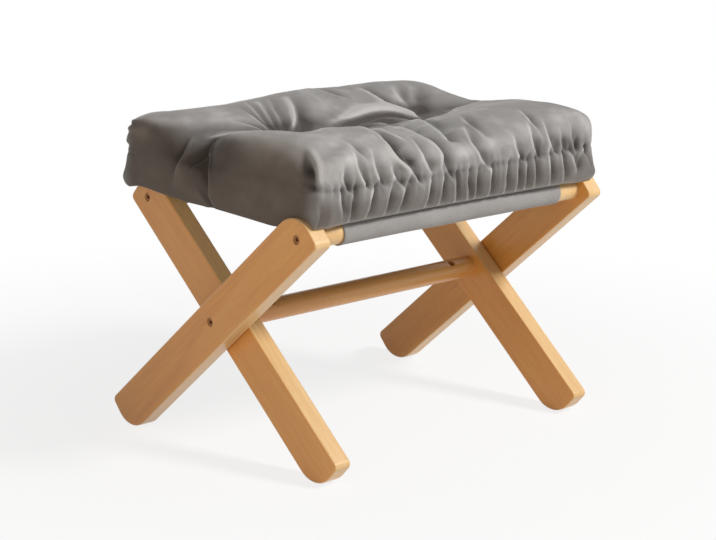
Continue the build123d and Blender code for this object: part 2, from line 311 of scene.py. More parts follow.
def spun_thread(name):
    """Spun polyester thread, twisted: pale grey, matte, with a faint twist."""
    material, tree, place = new_material(name)
    slanted = add(tree, "Mapping", {"Vector": place["Object"]}, {"Rotation": (0, 0, TWIST_SLANT)})
    twist = add(tree, "TexWave", {"Vector": slanted}, {"Scale": wave_scale(TWIST_SPACING)})
    grey = add(tree, "ValToRGB", {"Fac": twist.outputs["Fac"]}, stops=[(0.2, "#9a9692"), (0.8, "#b4b0ac")])
    return surfaced(material, {"Base Color": grey}, {"Roughness": 0.8})


LEG_LEAN = math.radians(48.8)
ALONG_X, ALONG_Z = 0, 2
canvas = plain_weave("grey_sling_canvas")
velvet = cotton_velvet("grey_cushion_velvet")
thread = spun_thread("grey_sewing_thread")
rail_beech = lacquered_beech("beech_rails", (0, 0, 0), ALONG_X)
# What each CAD piece is made of, by a word in its name
DRESS = {
    "outer_leg": lacquered_beech("beech_outer_legs", (-LEG_LEAN, 0, 0), ALONG_Z),
    "inner_leg": lacquered_beech("beech_inner_legs", (LEG_LEAN, 0, 0), ALONG_Z),
    "front_rail": rail_beech,
    "rear_rail": rail_beech,
    # On the round stretcher the paler share is a painted highlight all round the bar
    "stretcher": lacquered_beech("beech_stretcher", (0, 0, 0), ALONG_X, edge_grain_and_highlight=0.15),
    "_bolt_": browned_steel("browned_steel_bolts", ("#8f6138", "#ac7a4c"), 0.45),
    "_nut_": browned_steel("browned_steel_nuts", ("#6b4a2e", "#86603e"), 0.5),
    "pivot_washer": moulded_nylon("tan_nylon_washers"),
    "tuft_thread": velvet}
for word, material in DRESS.items():
    for name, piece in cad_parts.items():
        if word in name:
            piece.data.materials.clear()
            piece.data.materials.append(material)

# Sling: a hem tunnel round each rail and a flat cloth between them

CLOTH = 1.2
TUNNEL_STEPS = 56
SLING_STEPS = 130
TUNNEL_SEEDS = {-1: 11, 1: 12}
END_PUFF, END_PUFF_RUN = 0.35, 7.0   # a tunnel stands open at its ends
RIPPLES = ((0.16, 2, 21.0), (0.1, 3, -13.0), (0.12, 0, 17.0))   # height, waves round the rail, run along it
RIPPLE_ROOM = 0.25
TAIL_SUNK = 0.1
TAIL_FACES = ((0, 1, 3, 2), (4, 6, 7, 5), (0, 2, 6, 4), (1, 5, 7, 3), (0, 4, 5, 1), (2, 3, 7, 6))


def grid_faces(rows, columns, first=0, closed=False):
    """Quads between rows of points, from the first point on. A closed row is a ring."""
    faces = []
    for a in range(first, first + (rows - 1) * columns, columns):
        b = a + columns
        for j in range(columns if closed else columns - 1):
            k = (j + 1) % columns
            faces.append((a + j, b + j, b + k, a + k))
    return faces


def set_uv(piece, flat):
    """UV in metres, from each point's place on the flat cloth in millimetres."""
    corners = np.empty(len(piece.data.loops), dtype=np.int64)
    piece.data.loops.foreach_get("vertex_index", corners)
    piece.data.uv_layers.new(name="UVMap").data.foreach_set("uv", (flat[corners] * MM).ravel())


def fix_normals(piece):
    work = bmesh.new()
    work.from_mesh(piece.data)
    bmesh.ops.recalc_face_normals(work, faces=work.faces)
    work.to_mesh(piece.data)
    work.free()


def hem_tunnel(name, node, rail_node, body, side):
    """The cloth round a rail. side is -1 for the front. Its tail runs flat to the hem's stitching."""
    low, high = corners_mm(node)
    _, centre_y, centre_z = sum(corners_mm(rail_node)) / 2
    outer = high[2] - centre_z
    phases = np.random.default_rng(TUNNEL_SEEDS[side]).uniform(0, 2 * math.pi, len(RIPPLES))
    turns = np.linspace(0, 2 * math.pi, TUNNEL_STEPS, endpoint=False)
    outside, inside = [], []
    for x in np.linspace(low[0], high[0], SLING_STEPS):
        puff = END_PUFF * math.exp(-min(x - low[0], high[0] - x) / END_PUFF_RUN)
        ripple = sum(height * np.sin(turns * waves + x / run + phase)
                     for (height, waves, run), phase in zip(RIPPLES, phases))
        for wall, radius in ((outside, outer - RIPPLE_ROOM + ripple + puff), (inside, outer - CLOTH)):
            wall.append(np.stack([np.full_like(turns, x), centre_y + radius * np.sin(turns),
                                  centre_z + radius * np.cos(turns)], 1))
    count = SLING_STEPS * TUNNEL_STEPS
    faces = grid_faces(SLING_STEPS, TUNNEL_STEPS, closed=True)
    faces += grid_faces(SLING_STEPS, TUNNEL_STEPS, count, closed=True)
    for a in (0, count - TUNNEL_STEPS):
        for j in range(TUNNEL_STEPS):
            k = (j + 1) % TUNNEL_STEPS
            faces.append((a + j, a + k, a + count + k, a + count + j))
    tail_y = high[1] if side < 0 else low[1]
    tail_top = high[2] - TAIL_SUNK
    tail = [(x, y, z) for x in (low[0], high[0]) for y in (centre_y, tail_y)
            for z in (tail_top, tail_top - CLOTH)]
    faces += [tuple(2 * count + i for i in face) for face in TAIL_FACES]
    piece = mesh_piece(name, np.vstack([*outside, *inside, tail]), faces)
    place = points_of(piece.data)
    round_rail = np.arctan2(place[:, 1] - centre_y, place[:, 2] - centre_z) * outer
    set_uv(piece, np.stack([place[:, 0], round_rail], 1))
    piece.data.materials.append(canvas)
    fix_normals(piece)
    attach(piece, body)
    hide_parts(node)


PANEL_COLUMNS = 80
PANEL_ROWS = 30
PANEL_CLOTH = 1.0
PANEL_DROP = 0.15            # below the CAD panel's top
PANEL_SAG = 0.5
SAG_CHANGE, SAG_RUN_X, SAG_RUN_Y = 0.3, 19.0, 23.0


def sling_half(name, side):
    """Half of the sling's flat stretch, from the middle to one hem."""
    low, high = corners_mm("sling_panel")
    edge_y = low[1] if side < 0 else high[1]
    xs = np.linspace(low[0], high[0], PANEL_COLUMNS + 1)
    ys = np.linspace(0.0, edge_y, PANEL_ROWS + 1)
    grid_x, grid_y = np.meshgrid(xs, ys)
    uneven = 1 + SAG_CHANGE * np.sin(grid_x / SAG_RUN_X) * np.sin(grid_y / SAG_RUN_Y)
    top = high[2] - PANEL_DROP - PANEL_SAG * (1 - (grid_y / edge_y) ** 2) * uneven
    points = [np.stack([grid_x.ravel(), grid_y.ravel(), level.ravel()], 1)
              for level in (top, top - PANEL_CLOTH)]
    columns = PANEL_COLUMNS + 1
    sheet = columns * (PANEL_ROWS + 1)
    faces = grid_faces(PANEL_ROWS + 1, columns) + grid_faces(PANEL_ROWS + 1, columns, sheet)
    for r in range(PANEL_ROWS):
        for a in (r * columns, r * columns + PANEL_COLUMNS):
            faces.append((a, a + columns, sheet + a + columns, sheet + a))
    for c in range(PANEL_COLUMNS):
        for a in (c, PANEL_ROWS * columns + c):
            faces.append((a, a + 1, sheet + a + 1, sheet + a))
    piece = mesh_piece(name, np.vstack(points), faces)
    set_uv(piece, points_of(piece.data)[:, :2])
    fix_normals(piece)
    piece.data.materials.append(canvas)
    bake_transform(piece)
    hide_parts("sling_panel")


hem_tunnel("sling_front_tunnel", "front_sleeve", "front_rail", "outer_frame", -1)
hem_tunnel("sling_rear_tunnel", "rear_sleeve", "rear_rail", "inner_frame", 1)
sling_half("sling_front_half", -1)
sling_half("sling_rear_half", 1)

# Hem stitches: two rows of lockstitch beside each tunnel, on both faces of the cloth

STITCHES = {"Stitches": 72, "Spacing": 4.2 * MM, "Row Gap": 4.0 * MM, "Stitch Length": 3.1 * MM,
            "Thread": 0.55 * MM, "Cloth": 1.05 * MM, "Unevenness": 0.05, "Seed": 7}
HEM_FROM_EDGE = 10.0
STITCH_SUNK = 0.3


def stitch_tree():
    """Node tree that sews the rows, from the first stitch on."""
    tree = bpy.data.node_groups.new("hem_stitches", "GeometryNodeTree")
    face = tree.interface
    face.new_socket("Geometry", in_out="OUTPUT", socket_type="NodeSocketGeometry")
    face.new_socket("First Stitch", in_out="INPUT", socket_type="NodeSocketVector")
    for name in STITCHES:
        kind = "NodeSocketInt" if name in ("Stitches", "Seed") else "NodeSocketFloat"
        face.new_socket(name, in_out="INPUT", socket_type=kind)
    size = add(tree, "NodeGroupInput").outputs
    step = add(tree, "CombineXYZ", {"X": size["Spacing"]})
    row = add(tree, "GeometryNodeMeshLine",
              {"Count": size["Stitches"], "Start Location": size["First Stitch"], "Offset": step})
    aside = add(tree, "CombineXYZ", {"Y": size["Row Gap"]})
    second = add(tree, "GeometryNodeTransform", {"Geometry": row, "Translation": aside})
    pair = add(tree, "GeometryNodeJoinGeometry", {"Geometry": row})
    tree.links.new(second.outputs["Geometry"], pair.inputs["Geometry"])
    through = add(tree, "Math", {0: size["Cloth"]}, {1: -1.0}, operation="MULTIPLY")
    under = add(tree, "CombineXYZ", {"Z": through})
    lower = add(tree, "GeometryNodeTransform", {"Geometry": pair, "Translation": under})
    rows = add(tree, "GeometryNodeJoinGeometry", {"Geometry": pair})
    tree.links.new(lower.outputs["Geometry"], rows.inputs["Geometry"])
    bead = add(tree, "GeometryNodeMeshUVSphere", values={"Segments": 8, "Rings": 5, "Radius": 0.5})
    stitch_size = add(tree, "CombineXYZ",
                      {"X": size["Stitch Length"], "Y": size["Thread"], "Z": size["Thread"]})
    back = add(tree, "Math", {0: size["Unevenness"]}, {1: -1.0}, operation="MULTIPLY")
    turn = add(tree, "FunctionNodeRandomValue", {2: back, 3: size["Unevenness"], "Seed": size["Seed"]})
    spin = add(tree, "CombineXYZ", {"Z": turn.outputs[1]})
    sewn = add(tree, "GeometryNodeInstanceOnPoints",
               {"Points": rows, "Instance": bead, "Rotation": spin, "Scale": stitch_size})
    real = add(tree, "GeometryNodeRealizeInstances", {"Geometry": sewn.outputs["Instances"]})
    dyed = add(tree, "GeometryNodeSetMaterial", {"Geometry": real}, {"Material": thread})
    add(tree, "NodeGroupOutput", {"Geometry": dyed})
    return tree


def hem_stitches(name, tree, side):
    """The stitches of one hem."""
    low, high = corners_mm("sling_panel")
    edge_y = low[1] if side < 0 else high[1]
    run = (STITCHES["Stitches"] - 1) * STITCHES["Spacing"] / MM
    row_y = edge_y - side * HEM_FROM_EDGE - STITCHES["Row Gap"] / MM / 2
    piece = mesh_piece(name, [], [])
    sewing = piece.modifiers.new("sewing", "NODES")
    sewing.node_group = tree
    sockets = {item.name: item.identifier for item in tree.interface.items_tree if item.in_out == "INPUT"}
    sewing[sockets["First Stitch"]] = (-run / 2 * MM, row_y * MM, (high[2] - STITCH_SUNK) * MM)
    for socket, value in STITCHES.items():
        sewing[sockets[socket]] = value
    settle(piece, sewing)
    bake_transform(piece)


sewing_tree = stitch_tree()
hem_stitches("front_hem_stitches", sewing_tree, -1)
hem_stitches("rear_hem_stitches", sewing_tree, 1)

# Cushion: a loose pad whose top and band meet in a gathered seam, drawn in by two tufts

cover_low, cover_high = corners_mm("cushion_cover")
BASE_Z = cover_low[2]
HALF_LENGTH = cover_high[0]
HALF_DEPTH = cover_high[1]
ACROSS_CELLS = 48
HEIGHT_CELLS = 14
BODY_CELLS = 62
ROUNDING_CELLS = 4
RING = 2 * (ACROSS_CELLS + HEIGHT_CELLS)
ROUNDING = 15.0              # of the ends, along the stool
END_INSET = 5.0              # and across it
ROUNDING_TURN = 80.0         # degrees of it, before an end's patch closes it
END_BULGE = 1.2              # of an end's patch
WAIST = 3.0                  # the sides pull in between the corners
END_SWELL = 2.5              # room that the ends swell into
BODY_HALF = HALF_LENGTH - END_SWELL - ROUNDING
FINER_LEVELS = 2

# An end draws in from its underside up, most at the seam, and its underside rises a little
DRAW_HEIGHT = (4.0, 34.0)
SEAM_PINCH, PINCH_HEIGHT, PINCH_SPAN = 0.8, 36.0, 16.0
END_LIFT, END_LIFT_HEIGHT = 0.2, 30.0

# The band's outline, from the underside up to the seam: places across the stool, and heights
SECTION_HALF = 149.0
BAND = ((-45, 0), (-90, 0), (-124, 0.3), (-136, -3), (-144.5, 1.5), (-SECTION_HALF, 13), (-148, 24))
# The gathered seam's height above the underside, along the stool
SEAM_X = (-201, -60, 60, 201)
SEAM_HEIGHTS = (33, 30.5, 32, 36)
SEAM_DRAW_IN = 2.8
# Above the seam the sides swell out: half widths, and shares of the way up to the top's edge
SWELL = ((149, 0.34), (149.5, 0.62), (143, 0.88))
# The top's height above the underside: a row for each place from front to back, a column for each along it
TOP_Y = (-129, -105, -75, -40, 0, 40, 75, 105, 129)
TOP_X = (-198.4, -197, -192, -184, -172, -155, -107, -80, -50, -10,
         25, 55, 93, 140, 160, 176, 187, 194, 197, 198.4)
TOP_HEIGHTS = (
    (42, 49, 56, 61, 64, 66, 66, 64, 60, 58, 59, 62, 66, 67, 69, 71, 72, 72, 70, 67),
    (42, 50, 60, 67, 71, 73, 72, 70, 63, 60, 61, 66, 72, 72, 73, 74, 75, 74.5, 72.5, 68),
    (43, 52, 63, 70, 74, 75, 73, 71, 63, 60, 61, 66, 71, 72, 72.5, 73, 73.5, 72.5, 70, 65),
    (43, 52, 64, 71, 74, 73, 66, 63, 58, 57, 58, 61, 64, 69.5, 70.5, 71.5, 71.5, 70, 66.5, 61),
    (43, 51, 62, 69, 69, 66, 54, 54, 54, 54, 54, 55, 56, 64, 67, 69, 68, 66, 62, 57),
    (38, 44, 52, 57, 61, 64, 66, 67, 68, 68, 68, 68, 68, 72, 73, 72, 70, 67, 62.5, 56),
    (46, 54, 63, 70, 74, 76, 77, 79, 82, 83, 82, 81.5, 83, 82.5, 81, 78, 74, 70, 65, 58),
    (61, 68, 73, 74, 73, 72.5, 73, 74.5, 77, 80, 79.5, 79, 80, 79.5, 78.5, 76, 73, 68, 61, 54),
    (64, 69, 72, 71, 70, 69, 68, 69, 69, 69, 68, 68, 69, 68, 67, 66, 63, 60, 56, 51))
TUFTS = ((-104, 6), (93, 6))
TUFT_PULL = 7.0
TUFT_REACH = 15.0
TUFT_HEIGHT = (40.0, 55.0)   # over which the pull sets in
# How far the ends hang below the underside, from front to back, and where that sets in and fades
HANG_Y = (-149, -98, -83, -40, 4, 41, 81, 108, 149)
HANG = (0, 7, 8, 6, 4.2, 4, 2, 0, 0)
HANG_X = (158.0, 182.0)
HANG_HEIGHT = (4.0, 34.0)
CURVE_STEPS, TOP_STEPS, FOLD_STEPS = 16, 12, 6


def smooth_curve(points, steps, closed=False):
    """Smooth curve through points (Catmull-Rom)."""
    p = np.asarray(points, float)
    if closed:
        before, after, beyond = np.roll(p, 1, 0), np.roll(p, -1, 0), np.roll(p, -2, 0)
    else:
        long = np.vstack([2 * p[:1] - p[1:2], p, 2 * p[-1:] - p[-2:-1]])
        before, p, after, beyond = long[:-3], long[1:-2], long[2:-1], long[3:]
    t = np.linspace(0, 1, steps, endpoint=False)[None, :, None]
    a, b, c, d = (q[:, None, :] for q in (before, p, after, beyond))
    curve = 0.5 * (2 * b + (c - a) * t + (2 * a - 5 * b + 4 * c - d) * t**2 + (3 * b - a - 3 * c + d) * t**3)
    curve = curve.reshape(-1, p.shape[1])
    return curve if closed else np.vstack([curve, after[-1:]])


def even_points(loop, count):
    """Points evenly spaced along a closed curve."""
    closed = np.vstack([loop, loop[:1]])
    run = np.concatenate([[0], np.cumsum(np.linalg.norm(np.diff(closed, axis=0), axis=1))])
    wanted = np.linspace(0, run[-1], count, endpoint=False)
    return np.stack([np.interp(wanted, run, closed[:, k]) for k in (0, 1)], 1)


def seam_height(x):
    return np.interp(x, SEAM_X, SEAM_HEIGHTS)


TOP_RUN = smooth_curve(np.column_stack([TOP_X, np.array(TOP_HEIGHTS).T]), TOP_STEPS)


def cushion_section(x):
    """Section across the cushion, from the middle of the underside round the front, the top and the back."""
    seam = seam_height(x)
    heights = [np.interp(x, TOP_RUN[:, 0], TOP_RUN[:, 1 + row]) for row in range(len(TOP_Y))]
    band = list(BAND) + [(SEAM_DRAW_IN - SECTION_HALF, seam)]
    front, back = (band + [(-y, seam + share * (edge - seam)) for y, share in SWELL]
                   for edge in (heights[0], heights[-1]))
    loop = [(0, 0)] + front + list(zip(TOP_Y, heights)) + [(-y, z) for y, z in back[::-1]]
    return even_points(smooth_curve(loop, CURVE_STEPS, closed=True), RING)


def cushion_ring(x, inset):
    """A section in its place along the stool, drawn in at the waist and at the ends."""
    y, z = cushion_section(x).T
    waist = WAIST * math.cos(min(abs(x) / BODY_HALF, 1.0) * math.pi / 2)
    pinch = 1 + SEAM_PINCH * np.exp(-((z - PINCH_HEIGHT) / PINCH_SPAN) ** 2)
    drawn_in = waist + inset * smooth_step(z, *DRAW_HEIGHT) * pinch
    lift = END_LIFT * inset * (1 - smooth_step(z, 0.0, END_LIFT_HEIGHT))
    return np.stack([np.full(RING, x), y * (1 - drawn_in / SECTION_HALF), z + lift], 1)


def end_patch(ring, first, total, end):
    """Points and faces that close one end. first is the ring's first point, total the first new one."""
    half = ACROSS_CELLS // 2
    bottom = [(half - j) % RING for j in range(ACROSS_CELLS + 1)]
    front_side = [(half + k) % RING for k in range(HEIGHT_CELLS + 1)]
    top = [(half + HEIGHT_CELLS + j) % RING for j in range(ACROSS_CELLS + 1)]
    back_side = [(-half - k) % RING for k in range(HEIGHT_CELLS + 1)]
    ids = np.zeros((ACROSS_CELLS + 1, HEIGHT_CELLS + 1), dtype=int)
    ids[:, 0], ids[:, -1] = bottom, top
    ids[0, :], ids[-1, :] = front_side, back_side
    ids += first
    inner = ids[1:-1, 1:-1]
    inner[:] = total + np.arange(inner.size).reshape(inner.shape)
    v = np.linspace(0, 1, ACROSS_CELLS + 1)[1:-1, None, None]
    w = np.linspace(0, 1, HEIGHT_CELLS + 1)[None, 1:-1, None]
    ruled = (1 - w) * ring[bottom][1:-1, None] + w * ring[top][1:-1, None]
    ruled = ruled + (1 - v) * ring[front_side][None, 1:-1] + v * ring[back_side][None, 1:-1]
    corners = (1 - v) * (1 - w) * ring[bottom[0]] + v * (1 - w) * ring[bottom[-1]]
    corners = corners + (1 - v) * w * ring[top[0]] + v * w * ring[top[-1]]
    patch = ruled - corners
    patch[..., 0] += end * END_BULGE * np.sqrt(16 * v * (1 - v) * w * (1 - w))[..., 0]
    faces = [[ids[a] for a in ((j, k), (j + 1, k), (j + 1, k + 1), (j, k + 1))[::end]]
             for j in range(ACROSS_CELLS) for k in range(HEIGHT_CELLS)]
    return patch.reshape(-1, 3), faces


def cushion_lattice():
    """Closed quad mesh of the cushion: sections along the length, and a patch on each end."""
    turns = np.radians(np.linspace(0, ROUNDING_TURN, ROUNDING_CELLS + 1)[1:])
    rounding = [(BODY_HALF + ROUNDING * math.sin(t), END_INSET * (1 - math.cos(t))) for t in turns]
    stations = [(x, 0.0) for x in np.linspace(-BODY_HALF, BODY_HALF, BODY_CELLS + 1)]
    stations = [(-x, inset) for x, inset in rounding[::-1]] + stations + rounding
    rings = [cushion_ring(x, inset) for x, inset in stations]
    points = np.vstack(rings)
    faces = grid_faces(len(rings), RING, closed=True)
    for ring, first, end in ((rings[0], 0, -1), (rings[-1], len(points) - RING, 1)):
        inner, patch = end_patch(ring, first, len(points), end)
        points = np.vstack([points, inner])
        faces += patch
    return points, faces


def tuft_and_hang(points):
    """The tufts pull the top in, and the ends hang past the sling."""
    x, y, z = points.T
    pull = np.zeros_like(z)
    for tuft_x, tuft_y in TUFTS:
        pull += TUFT_PULL * np.exp(-(np.hypot(x - tuft_x, y - tuft_y) / TUFT_REACH) ** 2)
    hang = np.interp(y, HANG_Y, HANG) * smooth_step(np.abs(x), *HANG_X) * (1 - smooth_step(z, *HANG_HEIGHT))
    return np.stack([x, y, z - pull * smooth_step(z, *TUFT_HEIGHT) - hang], 1)


SOFT_END = 180.0             # from here outwards the edges of the ends are rounded off
SOFT_HEIGHT = 10.0
SOFT_ROUNDS = 10


def soften_ends(mesh):
    """Rounds the edges where the top and the sides turn into the ends."""
    work = bmesh.new()
    work.from_mesh(mesh)
    edge = [v for v in work.verts if abs(v.co.x) > SOFT_END * MM and v.co.z > SOFT_HEIGHT * MM]
    for _ in range(SOFT_ROUNDS):
        bmesh.ops.smooth_vert(work, verts=edge, factor=0.5, use_axis_x=True, use_axis_y=True, use_axis_z=True)
    work.to_mesh(mesh)
    work.free()


SIM_FRAMES = 14
SIM_REACH = 3.0              # no point moves further
COVER = {"quality": 4, "mass": 0.25, "tension_stiffness": 20, "compression_stiffness": 20,
         "bending_stiffness": 0.4, "use_pressure": True, "uniform_pressure_force": 4.0,
         "vertex_group_mass": "held"}
# What the cover is held by: the underside, the tufts on its top and the seam on its sides
HELD_BELOW = 1.5
TUFT_HOLD, TOP_FROM = 9.0, 40.0
SEAM_HOLD, SIDE_FROM = 3.0, 135.0


def fill_out(piece):
    """Cloth simulation: air pressure swells the cover between the tufts, the seam and the underside."""
    rest = points_of(piece.data)
    x, y, z = rest.T
    held = z < HELD_BELOW
    for tuft_x, tuft_y in TUFTS:
        held |= (np.hypot(x - tuft_x, y - tuft_y) < TUFT_HOLD) & (z > TOP_FROM)
    held |= (np.abs(z - seam_height(x)) < SEAM_HOLD) & (np.abs(y) > SIDE_FROM)
    group = piece.vertex_groups.new(name="held")
    group.add([int(i) for i in np.flatnonzero(held)], 1.0, "REPLACE")
    cloth = piece.modifiers.new("cover", "CLOTH")
    for name, value in COVER.items():
        setattr(cloth.settings, name, value)
    cloth.settings.effector_weights.gravity = 0.0
    cloth.point_cache.frame_start = 1
    cloth.point_cache.frame_end = SIM_FRAMES
    scene = bpy.context.scene
    for step in range(1, SIM_FRAMES + 1):
        scene.frame_set(step)
    evaluated = piece.evaluated_get(bpy.context.evaluated_depsgraph_get())
    swollen = points_of(evaluated.to_mesh())
    evaluated.to_mesh_clear()
    piece.modifiers.remove(cloth)
    piece.vertex_groups.remove(group)
    scene.frame_set(1)
    move = swollen - rest
    length = np.linalg.norm(move, axis=1, keepdims=True)
    set_points(piece.data, rest + move * np.minimum(1.0, SIM_REACH / np.maximum(length, 1e-9)))


# The legs' round tops and the sling, which the underside rests on
CROWN_Y, CROWN_Z, CROWN_RADIUS = 119.6, 229.8, 28.0
SEAT_EDGE_Y, SEAT_EDGE_Z, SEAT_EDGE_SLOPE = 101.2, 250.9, 0.875
OUTER_LEG_X, INNER_LEG_X = (185.0, 205.0), (163.8, 183.8)
LEG_MARGIN, LEG_SLOPE = 1.0, 5.0   # past a leg's faces
REST_GAP = 0.7
NO_LEG = BASE_Z - 40.0       # the height where there is no leg
LOWEST = BASE_Z - 10.0       # that the cushion hangs to
SLING_X, SLING_Y = 158.0, 128.0
LOWER_HALF = BASE_Z + 24.0


def rest_on_frame(points):
    """Lifts the underside onto what carries it."""
    x, y, z = points.T
    side, out = np.abs(x), np.abs(y)
    arc = CROWN_Z + np.sqrt(np.maximum(CROWN_RADIUS**2 - (out - CROWN_Y) ** 2, 0.0))
    leg_top = np.where(out > SEAT_EDGE_Y, arc, SEAT_EDGE_Z - SEAT_EDGE_SLOPE * (SEAT_EDGE_Y - out))
    leg_top = np.where(out > CROWN_Y + CROWN_RADIUS, NO_LEG, leg_top)
    inside, outside = (np.where(y < 0, outer, inner) for outer, inner in zip(OUTER_LEG_X, INNER_LEG_X))
    near = smooth_step(side, inside - LEG_SLOPE - LEG_MARGIN, inside - LEG_MARGIN)
    near = near * (1 - smooth_step(side, outside + LEG_MARGIN, outside + LEG_SLOPE + LEG_MARGIN))
    carried = LOWEST + (leg_top + REST_GAP - LOWEST) * near
    over_sling = (side < SLING_X) & (out < SLING_Y)
    carried = np.where(over_sling, np.maximum(carried, BASE_Z), carried)
    return np.stack([x, y, np.where(z < LOWER_HALF, np.maximum(z, carried), z)], 1)


# Folds of the cover. Each is a line on it, with its depth at the start, the middle and the end, and the
# widths of its two walls: the first on its left as it runs down the cover, the second on its right.
# A depth below 0 makes it a ridge.

PUCKERS = ((0.4, 2.8, 4.0), 2.2, 7.5)
PLEATS = ((3.0, 3.6, 2.4), 2.2, 7.0)
PUCKER_LINES = (
    ((-164, -145, 306), (-164, -146, 294), (-157, -145, 283)),
    ((-143, -134, 317), (-145, -145, 304), (-134, -145, 285)),
    ((-122, -134, 315), (-123, -145, 302), (-113, -144, 285)),
    ((-102, -144, 301), (-97, -146, 292), (-89, -144, 281)),
    ((-79, -140, 308), (-76, -145, 298), (-64, -143, 281)),
    ((-45, -113, 317), (-55, -134, 311), (-55, -144, 301), (-47, -145, 290)),
    ((-30, -140, 307), (-27, -145, 296), (-18, -143, 280)),
    ((43, -101, 320), (20, -135, 311), (23, -144, 297), (34, -143, 285)),
    ((75, -138, 311), (76, -145, 299), (86, -143, 285)),
    ((107, -131, 317), (100, -144, 304), (111, -144, 287)),
    ((131, -130, 319), (124, -144, 306), (136, -145, 288)),
    ((143, -144, 308), (145, -147, 297), (154, -144, 287)),
    ((161, -141, 313), (160, -146, 301), (168, -145, 288)))
PLEAT_LINES = (
    ((-168, -145, 281), (-169, -148, 272), (-167, -148, 263)),
    ((-150, -145, 281), (-155, -148, 270), (-155, -146, 256)),
    ((-122, -144, 282), (-129, -147, 272), (-132, -146, 258)),
    ((-100, -144, 280), (-105, -147, 271), (-107, -145, 258)),
    ((-78, -144, 280), (-85, -147, 270), (-88, -145, 258)),
    ((-46, -144, 279), (-50, -146, 270), (-51, -144, 257)),
    ((-27, -144, 279), (-32, -146, 270), (-32, -144, 257)),
    ((-11, -144, 278), (-13, -146, 268), (-10, -143, 256)),
    ((7, -143, 280), (4, -146, 269), (8, -143, 256)),
    ((21, -143, 280), (17, -146, 269), (19, -143, 256)),
    ((42, -143, 282), (38, -146, 270), (39, -143, 256)),
    ((65, -143, 282), (60, -146, 270), (62, -143, 256)),
    ((80, -143, 283), (77, -146, 271), (79, -144, 257)),
    ((94, -143, 284), (90, -146, 272), (92, -144, 257)),
    ((106, -144, 284), (104, -147, 273), (106, -145, 258)),
    ((127, -144, 285), (126, -147, 273), (129, -146, 258)),
    ((146, -144, 285), (146, -147, 274), (149, -147, 260)),
    ((162, -145, 284), (163, -147, 276), (166, -148, 268)))
CORNER_GATHERS = (
    (((0.2, 1.2, 1.6), 2.0, 5.0), ((175, -147, 301), (176, -147, 293), (179, -145, 286))),
    (((2.0, 2.2, 1.0), 2.0, 6.0), ((179, -145, 283), (172, -148, 275), (168, -148, 266))),
    (((1.6, 1.8, 0.8), 2.0, 5.0), ((182, -145, 283), (184, -147, 277), (187, -149, 270))))
SEAM_FOLDS = [(PUCKERS, line) for line in PUCKER_LINES] + [(PLEATS, line) for line in PLEAT_LINES]
SEAM_FOLDS += CORNER_GATHERS
END_FOLDS = (
    (((3, 4, 0.5), 16.0, 16.0), ((-186, 26, 312), (-198, 22, 296), (-202, 14, 268))),
    (((1, 3.6, 2.5), 2.2, 8.0), ((-201, 7, 255), (-202, 9, 277), (-201, 12, 288), (-197, 18, 299))),
    (((1, 4.5, 3), 2.2, 7.0), ((-201, 34, 285), (-196, 23, 300), (-183, 23, 313))),
    (((0.8, 3, 1.5), 2.2, 8.0), ((-202, 60, 272), (-200, 52, 294), (-190, 54, 308))),
    (((0.5, 2, 1.5), 2.0, 5.0), ((-202, 22, 266), (-201, 15, 258), (-199, 5, 250))),
    (((2, 8, 2), 4.0, 8.0), ((-199, -137, 290), (-197, -134, 300), (-193, -125, 309), (-187, -112, 317))),
    (((1, 3, 1), 2.6, 4.0), ((-202, -128, 291), (-200, -138, 288), (-194, -146, 287))))
CORNER_FOLDS = (
    (((0.5, 2.2, 1.2), 2.4, 5.0), ((-200, 124, 316), (-196, 139, 315), (-186, 145, 315))),
    (((0.5, 1.6, 1.2), 2.4, 4.0), ((-201, 128, 304), (-197, 142, 305), (-188, 147, 303))),
    (((0.5, 2.0, 1.0), 2.4, 5.0), ((-201, 130, 292), (-197, 142, 291), (-187, 148, 292))))
